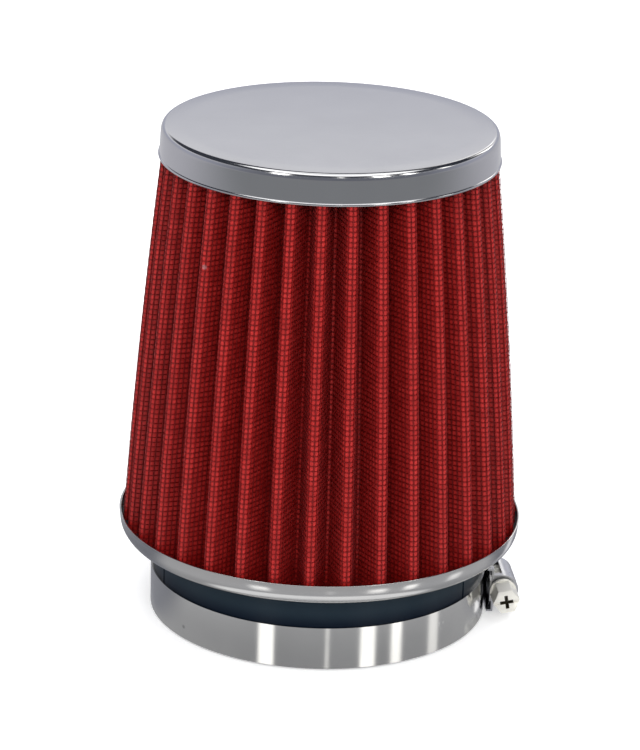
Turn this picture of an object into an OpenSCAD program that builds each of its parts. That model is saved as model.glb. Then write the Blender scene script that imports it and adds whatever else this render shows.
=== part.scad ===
// Cone air filter with a sheet metal cap, a pleated wire-backed pack, a sheet metal base ring,
// a moulded neck and a worm-drive hose clamp.
// Origin: centre of the neck's open end. +Z runs up the filter axis to the cap. Millimetres.

/* [Overall] */
// Height from the neck's open end to the top of the cap
overall_h = 150; // [130:1:180]

/* [Cap] */
// Outer diameter of the cap at its hem
cap_d = 100; // [94:0.5:104]
// Height of the cap, from the hem to the top plate
cap_h = 9.25; // [7:0.25:14]
// How much the cap is smaller in radius at its top than at its hem
cap_draft = 0.45; // [0.2:0.05:1]
// Radius of the cap's drawn shoulder
cap_shoulder_r = 1.3; // [0.9:0.1:2]
// Thickness of the cap's sheet
cap_sheet = 0.5; // [0.4:0.1:0.8]
// Diameter of the bead rolled along the hem
cap_bead_d = 0.9; // [0.8:0.05:1.2]

/* [Base ring] */
// How far the ring's lip stands out from the neck
ring_reach = 10.3; // [9.4:0.1:13]
// Height of the ring, from its floor to its lip
ring_h = 6.9; // [6:0.1:10]
// Outer radius of the rounding between wall and floor
ring_round_r = 3.5; // [2:0.1:4]
// Thickness of the ring's sheet
ring_sheet = 0.6; // [0.4:0.1:0.9]
// Diameter of the bead rolled along the lip
ring_bead_d = 0.9; // [0.85:0.05:1.4]

/* [Neck] */
// Bore of the neck, for the intake tube
neck_bore_d = 89; // [80:0.5:98]
// Thickness of the neck's wall
neck_wall = 5.4; // [4:0.1:8]
// Height of the base ring's floor above the neck's open end
neck_h = 23.85; // [18:0.25:40]
// Thickness of the flange that carries the base ring from inside
flange_t = 1.1; // [1:0.1:1.8]
// How far the flange reaches out over the ring's floor
flange_reach = 4.5; // [2:0.5:5]
// Rounding of the neck's rim
rim_round = 0.8; // [0.3:0.1:1.2]
// Width of the slits that let the neck close on the tube
slit_w = 0.8; // [0.4:0.1:2]
// Wall left between the top of the slits and the ring's floor
slit_land = 2.85; // [1:0.05:6]
// Angles of the slits, measured from the front
slit_angles = [-72, 54, 171];

/* [Pleated pack] */
// Number of pleats
pleats = 35; // [24:1:38]
// Depth of the pleats, over the whole pack
pleat_depth = 11.5; // [9:0.25:12]
// Angle of one inward fold, measured from the front
pack_turn = -3; // [-5:0.5:5]
// Thickness of each wire screen
screen_t = 0.35; // [0.2:0.05:0.6]
// Thickness of the gauze
gauze_t = 0.7; // [0.5:0.05:1.2]
// Radius left open at the inside of a fold
fold_inside_r = 0.25; // [0.2:0.05:0.5]
// Straight facets that make up one fold
fold_facets = 3; // [3:1:4]
// Depth of the pack's foot in the base potting
foot_depth = 0.9; // [0.6:0.1:1.5]
// Depth of the pack's head in the cap potting
head_depth = 3.5; // [2:0.25:4]

/* [Seam clip] */
// Thickness of the clip's strip
clip_t = 0.4; // [0.3:0.05:0.5]
// How far the clip reaches over the fold's sides
clip_reach = 2.5; // [1.5:0.25:4]

/* [Core] */
// Thickness of the core's sheet
core_t = 0.6; // [0.4:0.1:0.8]
// Rows of openings
core_rows = 8; // [4:1:8]
// Openings in each row
core_columns = 15; // [10:1:15]
// Metal left between openings
core_web = 4.25; // [2:0.25:6]

/* [Potting] */
// Potting left between the neck's flange and the pack's foot
foot_land = 1.05; // [1.05:0.05:1.8]
// Depth of the potting in the cap
cap_potting_h = 6; // [4.5:0.25:8]

/* [Clamp] */
// Width of the band
band_w = 12.7; // [10:0.1:14.2]
// Thickness of the band
band_t = 0.6; // [0.4:0.1:0.8]
// Width of the neck left below the band
band_margin = 0.65; // [0.65:0.05:3]
// Distance from one thread slot of the band to the next
slot_pitch = 3.1; // [2.8:0.1:3.6]
// Width of a thread slot
slot_w = 1.5; // [1.2:0.1:1.7]
// Length of a thread slot
slot_l = 7.6; // [5:0.2:8]
// Number of thread slots
slots = 20; // [8:1:24]
// How much of each corner is cut back at the band's end
tail_corner = 3; // [0.5:0.1:3.5]
// Length of the housing along the screw
housing_l = 14; // [13:0.5:18]
// How far the housing reaches in front of the filter's axis, along the band's flat end
housing_front = 10; // [6:0.5:12]
// Thickness of the housing's sheet
housing_t = 0.6; // [0.5:0.1:0.8]
// Inner radius of the housing's arch over the screw
arch_r = 4.2; // [4.1:0.1:4.8]

/* [Screw] */
// Hexagon of the head, across its flats
hex_af = 7; // [5.5:0.5:8]
// Length of the hexagon
hex_l = 7.5; // [3:0.5:8]
// Diameter of the collar behind the hexagon
collar_d = 8.2; // [7:0.2:9]
// Thickness of the collar
collar_t = 1; // [0.6:0.1:1.5]
// Root diameter of the worm
worm_root_d = 5.8; // [5:0.1:6]
// Outer diameter of the worm
worm_d = 7.5; // [7:0.1:7.6]
// Width of the worm's crests
worm_crest = 0.6; // [0.4:0.1:0.9]
// Diameter of the screw's journals
journal_d = 4; // [3:0.1:4.4]
// Width of the driver slot and of the cross
driver_w = 1; // [0.6:0.1:1.2]
// Depth of the driver slot
driver_depth = 1.4; // [0.8:0.1:2]
// Length of the cross arm
cross_l = 4.2; // [3:0.1:5]
// How far the screw is turned from a corner straight up
screw_turn = 10; // [0:1:59]

/* [Hidden] */

$fn = 96;

// Clearance between pieces that lie on each other along a curve
seat = 0.05;
// Clearance round the potted ends of the pack, and over the ends of its clip
pot_gap = 0.1;
// Gap between the layers of the pack
layer_gap = 0.1;
// Gap between the clip and the legs that it holds, which twist a little on their way up
clip_gap = 0.35;
// Gap between the inside of the folds and the core
core_gap = 0.8;
// Running clearance of the screw
run_gap = 0.1;
// Overshoot of a cutting tool
cut = 1;

chrome = [0.78, 0.78, 0.8];
zinc = [0.8, 0.78, 0.72];
red = [0.72, 0.09, 0.1];
dark_red = [0.5, 0.05, 0.07];
black = [0.07, 0.08, 0.1];

// Cap
cap_r = cap_d / 2;
cap_hem_z = overall_h - cap_h;
cap_wall_r = cap_r - (cap_bead_d - cap_sheet) + seat;
cap_top_r = cap_wall_r - cap_draft;

// Base ring and neck
bore_r = neck_bore_d / 2;
neck_r = bore_r + neck_wall;
ring_r = neck_r + ring_reach;
ring_floor_z = neck_h;
ring_lip_z = ring_floor_z + ring_h;
ring_wall_r = ring_r - (ring_bead_d - ring_sheet) + seat;
ring_hole_r = neck_r + seat;
flange_z = ring_floor_z + ring_sheet;
flange_top_z = flange_z + flange_t;
foot_z = flange_top_z + foot_land;
potting_top_z = foot_z + foot_depth;

// Pack
pack_t = 2 * screen_t + gauze_t + 2 * layer_gap;
fold_r = pack_t / 2 + fold_inside_r;
cap_potting_z = overall_h - cap_sheet - cap_potting_h;
head_z = cap_potting_z + head_depth;
ridge_foot_r = ring_wall_r - ring_sheet - 3 * seat;
ridge_head_r = cap_top_r - cap_sheet - 3 * seat;
half_pitch = 180 / pleats;

// Core, standing on the flange round the neck's dam and just inside the folds
core_foot_z = flange_top_z;
core_foot_r = ridge_foot_r - pleat_depth - core_gap;
core_head_r = ridge_head_r - pleat_depth - core_gap;
dam_r = core_foot_r - core_t - seat;

// Clamp
band_r = neck_r + seat;
band_outer_r = band_r + band_t;
saddle_x = band_outer_r + seat;
tail_r = saddle_x + housing_t + 2 * seat;
tail_outer_r = tail_r + band_t;
band_mid_z = band_margin + band_w / 2;
worm_r = worm_d / 2;
// The worm's crests reach halfway into the tail's slots
screw_x = tail_outer_r - band_t / 2 + worm_r;
housing_front_y = -housing_front;
housing_back_y = housing_front_y + housing_l;
housing_half_w = band_w / 2 + housing_t;
housing_foot_x = tail_outer_r + 2 * seat;
arch_outer_r = arch_r + housing_t;
// The band's outer end, its tail, is flat from here up to the filter's axis
tail_end_y = housing_front_y - housing_t;
// Angles, counted from +X, where the band steps down behind the housing from the tail to the neck,
// and where its inner end lies
joggle_start = asin(housing_back_y / tail_outer_r) + 1;
joggle_end = joggle_start + 6;
inner_end = joggle_start - 5;
// Overlap of the band's stretches with its step
lap_a = 1;
// Place of a thread slot along the tail, from the filter's axis
function slot_at(i) = tail_end_y + slot_w / 2 + (i + 0.5) * slot_pitch;
// The same length as an angle round the neck
function tail_angle(along_tail) = along_tail / tail_outer_r * 180 / PI;

// Half the section of a drawn shell's outside, with its top edge rounded
module drawn_outline(wall_r, top_r, bottom_z, top_z, round_r) {
    polygon([[0, bottom_z], [wall_r, bottom_z], [top_r, top_z - round_r], [0, top_z - round_r]]);
    translate([0, top_z - 2 * round_r]) square([top_r - round_r, 2 * round_r]);
    translate([top_r - round_r, top_z - round_r]) circle(round_r);
}

module top_cap() {
    color(chrome) rotate_extrude() intersection() {
        translate([0, cap_hem_z - cut]) square([cap_r + cut, cap_h + 2 * cut]);
        union() {
            difference() {
                drawn_outline(cap_wall_r, cap_top_r, cap_hem_z + cap_bead_d / 2, overall_h, cap_shoulder_r);
                drawn_outline(cap_wall_r - cap_sheet, cap_top_r - cap_sheet, cap_hem_z - cut,
                              overall_h - cap_sheet, cap_shoulder_r - cap_sheet);
            }
            translate([cap_r - cap_bead_d / 2, cap_hem_z + cap_bead_d / 2]) circle(cap_bead_d / 2);
        }
    }
}

// Outline of the base ring's pan, down to its rounded floor
module pan_outline(wall_r, floor_z, top_z, round_r) {
    translate([0, floor_z + round_r]) square([wall_r, top_z - floor_z - round_r]);
    translate([0, floor_z]) square([wall_r - round_r, round_r + seat]);
    intersection() {
        translate([wall_r - round_r, floor_z + round_r]) circle(round_r);
        translate([0, floor_z]) square([wall_r, round_r + seat]);
    }
}

module base_ring() {
    color(chrome) rotate_extrude() {
        difference() {
            pan_outline(ring_wall_r, ring_floor_z, ring_lip_z - ring_bead_d / 2, ring_round_r);
            pan_outline(ring_wall_r - ring_sheet, ring_floor_z + ring_sheet, ring_lip_z,
                        ring_round_r - ring_sheet);
            translate([0, ring_floor_z - cut]) square([ring_hole_r, ring_h]);
        }
        translate([ring_r - ring_bead_d / 2, ring_lip_z - ring_bead_d / 2]) circle(ring_bead_d / 2);
    }
}

// Radii along the cone, between the pack's foot and its head
function along(z) = (z - foot_z) / (head_z - foot_z);
function lerp(a, b, t) = a + (b - a) * t;

// One ring of the folded sheet, s millimetres outside the middle of the pack, with the ridges at
// ridge_r. Ridge and valley folds are arcs, joined by legs that are tangent to both.
function fold_ring(ridge_r, s) =
    let(
        ridge_c = ridge_r - pack_t / 2 - fold_r,
        valley_c = ridge_c - (pleat_depth - pack_t - 2 * fold_r),
        across = valley_c * sin(half_pitch),
        inward = ridge_c - valley_c * cos(half_pitch),
        leg = atan2(across, inward) - asin(2 * fold_r / norm([across, inward])),
        ridge_half = 90 - leg,
        valley_half = 90 - leg - half_pitch
    )
    [for (i = [0 : pleats - 1], side = [0, 1], k = [0 : fold_facets])
        let(
            at = pack_turn - 90 + (2 * i + 1 + side) * half_pitch,
            half = side == 0 ? ridge_half : valley_half,
            turn = -half + 2 * half * k / fold_facets,
            radial = side == 0 ? ridge_c + (fold_r + s) * cos(turn) : valley_c - (fold_r - s) * cos(turn),
            sideways = (side == 0 ? fold_r + s : fold_r - s) * sin(turn)
        )
        [radial * cos(at) - sideways * sin(at), radial * sin(at) + sideways * cos(at)]];

// The same ring at any height, on the straight lines between the foot and the head of the pack
function fold_ring_at(z, s) =
    let(foot = fold_ring(ridge_foot_r, s), head = fold_ring(ridge_head_r, s), t = along(z))
    [for (i = [0 : len(foot) - 1]) [each lerp(foot[i], head[i], t), z]];

// A sheet between four paths: its outside's foot and head, then its inside's head and foot. Its walls
// are all split along the same diagonal, so that nested sheets stay parallel.
module sheet_between(paths, closed) {
    count = len(paths[0]);
    last = [for (r = [0 : 3]) (r + 1) * count - 1];
    walls = [for (i = [0 : closed ? count - 1 : count - 2])
        let(
            a = [for (r = [0 : 3]) r * count + i],
            b = [for (r = [0 : 3]) r * count + (i + 1) % count]
        )
        each [[a[0], a[1], b[1]], [a[0], b[1], b[0]], [a[1], a[2], b[2]], [a[1], b[2], b[1]],
              [a[3], b[3], b[2]], [a[3], b[2], a[2]], [a[3], a[0], b[0]], [a[3], b[0], b[3]]]];
    ends = [[0, 3 * count, 2 * count], [0, 2 * count, count],
            [last[0], last[1], last[2]], [last[0], last[2], last[3]]];
    polyhedron(points = [for (path = paths) each path], faces = concat(walls, closed ? [] : ends));
}

// A folded sheet from s_in to s_out, measured from the middle of the pack, between two heights
module folded_sheet(s_in, s_out, z_low, z_high) {
    sheet_between([fold_ring_at(z_low, s_out), fold_ring_at(z_high, s_out),
                   fold_ring_at(z_high, s_in), fold_ring_at(z_low, s_in)], true);
}

module outer_screen() {
    color(red) folded_sheet(pack_t / 2 - screen_t, pack_t / 2, foot_z, head_z);
}

module filter_gauze() {
    color(dark_red) folded_sheet(-gauze_t / 2, gauze_t / 2, foot_z, head_z);
}

module inner_screen() {
    color(red) folded_sheet(-pack_t / 2, -pack_t / 2 + screen_t, foot_z, head_z);
}

// The point at a distance from one point toward another
function toward(from, to, distance) = from + (to - from) / norm(to - from) * distance;

// One edge of the seam clip: round an inward fold and a short way up both of its legs
function clip_path(z, s) =
    let(
        ring = fold_ring_at(z, s),
        first = (2 * floor(pleats / 2) - 1) * (fold_facets + 1),
        last = first + fold_facets
    )
    concat([toward(ring[first], ring[first - 1], clip_reach)],
           [for (i = [first : last]) ring[i]],
           [toward(ring[last], ring[last + 1], clip_reach)]);

// Folded strip that closes the pack where its two ends meet in one inward fold, at the back
module seam_clip() {
    z_low = potting_top_z + pot_gap;
    z_high = cap_potting_z - pot_gap;
    s_out = -pack_t / 2 - clip_gap;
    color(chrome) sheet_between([clip_path(z_low, s_out), clip_path(z_high, s_out),
                                 clip_path(z_high, s_out - clip_t), clip_path(z_low, s_out - clip_t)],
                                false);
}

// Room for a potted end of the pack
module pack_slot(z_low, z_high) {
    folded_sheet(-pack_t / 2 - pot_gap, pack_t / 2 + pot_gap, z_low, z_high);
}

// Radius of the core's outside at a height
function core_r(z) = lerp(core_foot_r, core_head_r, (z - core_foot_z) / (head_z - core_foot_z));

// Section of the core's wall, made thicker by a gap on both sides
module core_section(z_low, z_high, gap) {
    polygon([[core_r(z_low) + gap, z_low], [core_r(z_high) + gap, z_high],
             [core_r(z_high) - core_t - gap, z_high], [core_r(z_low) - core_t - gap, z_low]]);
}

module inner_core() {
    open_z = potting_top_z + core_web;
    row_h = (cap_potting_z - core_web - open_z) / (core_rows + 1);
    color(chrome) difference() {
        rotate_extrude() core_section(core_foot_z, head_z, 0);
        for (row = [0 : core_rows - 1], column = [0 : core_columns - 1]) {
            z = open_z + (row + 1) * row_h;
            pitch = 360 / core_columns;
            half_w = core_r(z) * PI / core_columns - core_web / 2;
            rotate([0, 0, (column + (row % 2) / 2) * pitch])
                translate([core_r(z) - core_t - cut, 0, z]) rotate([90, 0, 90])
                    linear_extrude(core_t + 2 * cut)
                        polygon([[half_w, 0], [0, row_h - core_web / 2], [-half_w, 0],
                                 [0, core_web / 2 - row_h]]);
        }
    }
}

module cap_potting() {
    pot_r = cap_top_r - cap_sheet - seat;
    wall_slope = cap_draft / (cap_h + cut - cap_shoulder_r);
    low_r = pot_r + wall_slope * (overall_h - cap_shoulder_r - cap_potting_z);
    top_z = overall_h - cap_sheet;
    color(black) difference() {
        rotate_extrude() polygon([[0, cap_potting_z], [low_r, cap_potting_z],
            [pot_r, top_z - cap_shoulder_r], [pot_r - cap_shoulder_r, top_z], [0, top_z]]);
        pack_slot(cap_potting_z - cut, head_z + pot_gap);
        rotate_extrude() core_section(cap_potting_z - cut, head_z + pot_gap, seat);
    }
}

module base_potting() {
    color(black) difference() {
        rotate_extrude() difference() {
            intersection() {
                pan_outline(ring_wall_r - ring_sheet - seat, ring_floor_z + ring_sheet, ring_lip_z,
                            ring_round_r - ring_sheet);
                square([ring_r, potting_top_z]);
            }
            square([neck_r + flange_reach + seat, flange_top_z]);
            polygon([[0, 0], [core_r(0) + seat, 0], [core_r(potting_top_z + cut) + seat, potting_top_z + cut],
                     [0, potting_top_z + cut]]);
        }
        pack_slot(foot_z - pot_gap, potting_top_z + cut);
    }
}

module neck() {
    color(black) difference() {
        rotate_extrude() {
            translate([bore_r, rim_round]) square([neck_wall, flange_top_z - rim_round]);
            translate([bore_r, 0]) square([neck_wall - rim_round, 2 * rim_round]);
            translate([neck_r - rim_round, rim_round]) circle(rim_round);
            translate([bore_r, flange_z]) square([neck_wall + flange_reach, flange_t]);
            polygon([[bore_r, flange_z], [dam_r, flange_z],
                     [core_r(potting_top_z) - core_t - seat, potting_top_z], [bore_r, potting_top_z]]);
        }
        for (a = slit_angles)
            rotate([0, 0, a - 90]) translate([bore_r - cut, -slit_w / 2, -cut])
                cube([neck_wall + 2 * cut, slit_w, neck_h - slit_land + cut]);
    }
}

// Part of an annulus in plan, from one angle to another, counted from +X toward +Y
module arc_strip(r_in, r_out, from, to) {
    reach = 2 * r_out;
    steps = ceil((to - from) / 60);
    intersection() {
        difference() {
            circle(r_out);
            circle(r_in);
        }
        polygon([[0, 0], for (i = [0 : steps]) let(a = from + (to - from) * i / steps)
            [reach * cos(a), reach * sin(a)]]);
    }
}

// The band's short step outward, from the neck to the tail
module joggle_plan() {
    polygon([for (p = [[band_r + seat, joggle_end], [band_outer_r - seat, joggle_end],
                       [tail_outer_r - seat, joggle_start], [tail_r + seat, joggle_start]])
        [p[0] * cos(p[1]), p[0] * sin(p[1])]]);
}

module clamp_band() {
    color(chrome) difference() {
        translate([0, 0, band_margin]) {
            linear_extrude(band_w) arc_strip(band_r, band_outer_r, joggle_end - lap_a, 360 + inner_end);
            linear_extrude(band_w) joggle_plan();
            linear_extrude(band_w) arc_strip(tail_r, tail_outer_r, 0, joggle_start + lap_a);
            translate([tail_r, tail_end_y, 0]) cube([band_t, seat - tail_end_y, band_w]);
        }
        // The tail's corners are cut back
        for (side = [-1, 1])
            translate([tail_r - seat, tail_end_y, band_mid_z + side * band_w / 2])
                rotate([90 - 45 * side, 0, 0]) translate([0, -2 * tail_corner, -tail_corner / sqrt(2)])
                    cube([3 * band_t, 4 * tail_corner, 2 * tail_corner]);
        // Thread slots, which leave the band's inner end whole
        for (i = [0 : slots - 1]) {
            clear_of_end = tail_angle(slot_at(i) - slot_pitch / 2) > inner_end;
            rotate([0, 0, max(0, tail_angle(slot_at(i)))])
                translate([clear_of_end ? band_r - band_t : tail_r - seat, min(0, slot_at(i)), band_mid_z])
                    rotate([atan(slot_pitch / (PI * worm_d)), 0, 0])
                        translate([0, -slot_w / 2, -slot_l / 2]) cube([5 * band_t, slot_w, slot_l]);
        }
    }
}

module clamp_housing() {
    foot_in = housing_foot_x - screw_x;
    window_l = housing_l - 6 * housing_t;
    color(chrome) {
        translate([screw_x, housing_back_y, band_mid_z]) difference() {
            rotate([90, 0, 0]) union() {
                // Arch over the screw, standing on a flat foot
                linear_extrude(housing_l) {
                    intersection() {
                        circle(arch_outer_r);
                        translate([foot_in, -arch_outer_r]) square(2 * arch_outer_r);
                    }
                    translate([foot_in, -arch_outer_r]) square([-foot_in, 2 * arch_outer_r]);
                    translate([foot_in, -housing_half_w]) square([housing_t, 2 * housing_half_w]);
                }
                // Walls folded down over both edges of the tail
                for (side = [-1, 1])
                    translate([saddle_x - screw_x, side > 0 ? band_w / 2 + seat : -housing_half_w, 0])
                        cube([housing_foot_x - saddle_x + housing_t / 2, housing_t - seat, housing_l]);
            }
            // Room for the worm, between the two end plates
            translate([0, -housing_t, 0]) rotate([90, 0, 0]) linear_extrude(housing_l - 2 * housing_t) {
                circle(arch_r);
                translate([foot_in - seat, -arch_r]) square([seat - foot_in, 2 * arch_r]);
            }
            // Holes for the screw's journals
            translate([0, cut, 0]) rotate([90, 0, 0])
                cylinder(r = journal_d / 2 + run_gap, h = housing_l + 2 * cut);
            // Windows over the worm in both sides
            translate([foot_in + housing_t, -housing_l / 2 - window_l / 2, -2 * arch_r])
                cube([-foot_in - housing_t, window_l, 4 * arch_r]);
        }
        // Saddle under the tail, joined to both walls
        intersection() {
            translate([saddle_x, housing_front_y, band_mid_z - housing_half_w])
                cube([housing_t, housing_l, 2 * housing_half_w]);
            cylinder(r = tail_r - seat, h = 4 * band_mid_z, center = true);
        }
    }
}

module clamp_screw() {
    worm_front = housing_front_y + housing_t + run_gap;
    worm_back = housing_back_y - housing_t - run_gap;
    collar_y = tail_end_y - run_gap - collar_t;
    head_y = collar_y - hex_l;
    rings = floor((worm_back - worm_front - slot_w) / slot_pitch);
    first_ring = slot_at(ceil((worm_front + slot_w / 2 - slot_at(0)) / slot_pitch));
    color(zinc) translate([screw_x, 0, band_mid_z]) rotate([-90, 0, 0]) {
        rotate_extrude() {
            translate([0, collar_y]) square([collar_d / 2, collar_t]);
            translate([0, collar_y]) square([journal_d / 2, housing_back_y + housing_t - collar_y]);
            translate([0, worm_front]) square([worm_root_d / 2, worm_back - worm_front]);
            for (i = [0 : rings - 1]) translate([0, first_ring + i * slot_pitch])
                polygon([[0, -slot_w / 2], [worm_root_d / 2, -slot_w / 2], [worm_r, -worm_crest / 2],
                         [worm_r, worm_crest / 2], [worm_root_d / 2, slot_w / 2], [0, slot_w / 2]]);
        }
        difference() {
            translate([0, 0, head_y]) rotate([0, 0, 90 + screw_turn])
                cylinder(r = hex_af / 2 / cos(30), h = hex_l + collar_t / 2, $fn = 6);
            translate([0, 0, head_y]) rotate([0, 0, screw_turn]) {
                cube([2 * hex_af, driver_w, 2 * driver_depth], center = true);
                cube([driver_w, cross_l, 4 * driver_depth], center = true);
            }
        }
    }
}

top_cap();
cap_potting();
outer_screen();
filter_gauze();
inner_screen();
seam_clip();
inner_core();
base_ring();
base_potting();
neck();
clamp_band();
clamp_housing();
clamp_screw();
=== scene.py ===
# Looks of the cone air filter: drawn metal cap and base ring, pleated pack under woven red wire cloth,
# moulded neck and worm-drive clamp. Everything is in metres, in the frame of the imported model.
import math

import bmesh
import bpy
import numpy as np
from mathutils import Matrix, Vector


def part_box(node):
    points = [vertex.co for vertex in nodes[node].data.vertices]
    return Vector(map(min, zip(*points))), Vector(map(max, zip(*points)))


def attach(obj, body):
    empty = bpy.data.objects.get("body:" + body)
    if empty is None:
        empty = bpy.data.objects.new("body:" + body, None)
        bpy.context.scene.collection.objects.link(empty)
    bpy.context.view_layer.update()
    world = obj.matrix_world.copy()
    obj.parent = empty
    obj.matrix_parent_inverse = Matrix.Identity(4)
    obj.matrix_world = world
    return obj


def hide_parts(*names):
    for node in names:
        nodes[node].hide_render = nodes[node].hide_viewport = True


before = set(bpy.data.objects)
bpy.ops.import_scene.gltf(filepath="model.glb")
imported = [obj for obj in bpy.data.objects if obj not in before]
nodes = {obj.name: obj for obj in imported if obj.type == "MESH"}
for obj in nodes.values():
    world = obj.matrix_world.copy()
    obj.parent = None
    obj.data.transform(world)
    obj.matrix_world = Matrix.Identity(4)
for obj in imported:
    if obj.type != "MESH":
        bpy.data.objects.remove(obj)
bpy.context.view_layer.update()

MM = 0.001
AROUND = 288

# Sizes of the real pieces that the model's boxes don't give
CAP_SHEET = 0.5 * MM
CAP_BEAD_R = 0.45 * MM
CAP_SHOULDER_R = 1.3 * MM
CAP_RUN_OUT_R = 4.5 * MM
CAP_RUN_OUT_FROM = 22
CAP_DRAFT = 0.45 * MM
RING_SHEET = 0.6 * MM
RING_FLARE = 0.25 * MM
RING_EDGE_R = 0.12 * MM
RING_ROUND_R = 4.6 * MM
SEAT = 0.05 * MM

cap_low, cap_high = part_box("top_cap")
ring_low, ring_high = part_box("base_ring")
neck_low, neck_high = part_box("neck")
band_low, band_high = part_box("clamp_band")
housing_low, housing_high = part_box("clamp_housing")
screw_low, screw_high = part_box("clamp_screw")
screen_low, screen_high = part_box("outer_screen")
cap_r = cap_high.x
ring_r = ring_high.x
cap_wall_r = cap_r - (2 * CAP_BEAD_R - CAP_SHEET) + SEAT
cap_top_r = cap_wall_r - CAP_DRAFT
ring_wall_r = ring_r - RING_FLARE
neck_outer_r = ring_r - 10.3 * MM

# The pleated pack
PLEATS = 35
PACK_TURN = math.radians(-3)
PLEAT_DEPTH = 11.5 * MM
PACK_T = 1.6 * MM
FOLD_R = 1.05 * MM
BELLY = 0.8 * MM
WIRES_AROUND = 530
WIRE_PITCH = 1.5 * MM
WIRE_R = 0.12 * MM
WIRE_S = 0.64 * MM
WIRE_WANDER = 0.2 * MM
CRIMP = 0.05 * MM
GAUZE_S = 0.42 * MM
SCREEN_T = 0.35 * MM
PAD_SWELL = 0.26 * MM

# The clamp's screw
HEX_AF = 7 * MM
HEX_L = 7.5 * MM
COLLAR_R = 4.1 * MM
COLLAR_T = 1 * MM
WORM_ROOT_R = 2.9 * MM
WORM_R = 3.75 * MM
WORM_PITCH = 3.1 * MM
JOURNAL_R = 2 * MM
SCREW_TURN = math.radians(10)
ridge_foot_r = ring_wall_r - RING_SHEET - 3 * SEAT
ridge_head_r = cap_top_r - CAP_SHEET - 3 * SEAT
foot_z, head_z = screen_low.z, screen_high.z


def put_piece(name, mesh, body, material, replaced=()):
    """A finished mesh becomes a piece that rides on a body and stands for the model's nodes."""
    piece = bpy.data.objects.new(name, mesh)
    bpy.context.scene.collection.objects.link(piece)
    mesh.materials.append(material)
    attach(piece, body)
    if replaced:
        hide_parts(*replaced)
    return piece


def mesh_from(name, points, faces, smooth_angle=None):
    mesh = bpy.data.meshes.new(name)
    mesh.from_pydata([tuple(p) for p in points], [], [tuple(f) for f in faces])
    mesh.update()
    if smooth_angle is not None:
        mesh.shade_smooth()
        mesh.set_sharp_from_angle(angle=math.radians(smooth_angle))
    return mesh


def fast_mesh(name, points, quads, smooth=True):
    """A large mesh of quads from arrays."""
    mesh = bpy.data.meshes.new(name)
    mesh.vertices.add(len(points))
    mesh.vertices.foreach_set("co", np.asarray(points, np.float32).ravel())
    count = len(quads)
    mesh.loops.add(4 * count)
    mesh.polygons.add(count)
    mesh.loops.foreach_set("vertex_index", np.asarray(quads, np.int32).ravel())
    mesh.polygons.foreach_set("loop_start", np.arange(0, 4 * count, 4, dtype=np.int32))
    mesh.polygons.foreach_set("loop_total", np.full(count, 4, np.int32))
    mesh.update(calc_edges=True)
    mesh.validate()
    if smooth:
        mesh.shade_smooth()
    return mesh


def arc(centre, radius, start, end, steps):
    """Points (r, z) on an arc, in degrees from +r toward +z."""
    angles = [math.radians(start + (end - start) * k / steps) for k in range(steps + 1)]
    return [(centre[0] + radius * math.cos(a), centre[1] + radius * math.sin(a)) for a in angles]


def turned_mesh(name, profile, around=AROUND, smooth_angle=35):
    """A closed profile (r, z) turned about the filter's axis."""
    mesh_points, faces = [], []
    count = len(profile)
    on_axis = [r < 1e-9 for r, z in profile]
    index = {}
    for k, (r, z) in enumerate(profile):
        for i in range(1 if on_axis[k] else around):
            a = 2 * math.pi * i / around
            index[k, i] = len(mesh_points)
            mesh_points.append((r * math.cos(a), r * math.sin(a), z))
    for k in range(count):
        after = (k + 1) % count
        if on_axis[k] and on_axis[after]:
            continue
        for i in range(around):
            beside = (i + 1) % around
            if on_axis[k]:
                faces.append((index[k, 0], index[after, i], index[after, beside]))
            elif on_axis[after]:
                faces.append((index[k, i], index[after, 0], index[k, beside]))
            else:
                faces.append((index[k, i], index[after, i], index[after, beside], index[k, beside]))
    mesh = mesh_from(name, mesh_points, faces)
    tidy_normals(mesh)
    mesh.shade_smooth()
    mesh.set_sharp_from_angle(angle=math.radians(smooth_angle))
    return mesh


def tidy_normals(mesh):
    work = bmesh.new()
    work.from_mesh(mesh)
    bmesh.ops.recalc_face_normals(work, faces=work.faces)
    work.to_mesh(mesh)
    work.free()


# Shader building


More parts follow.
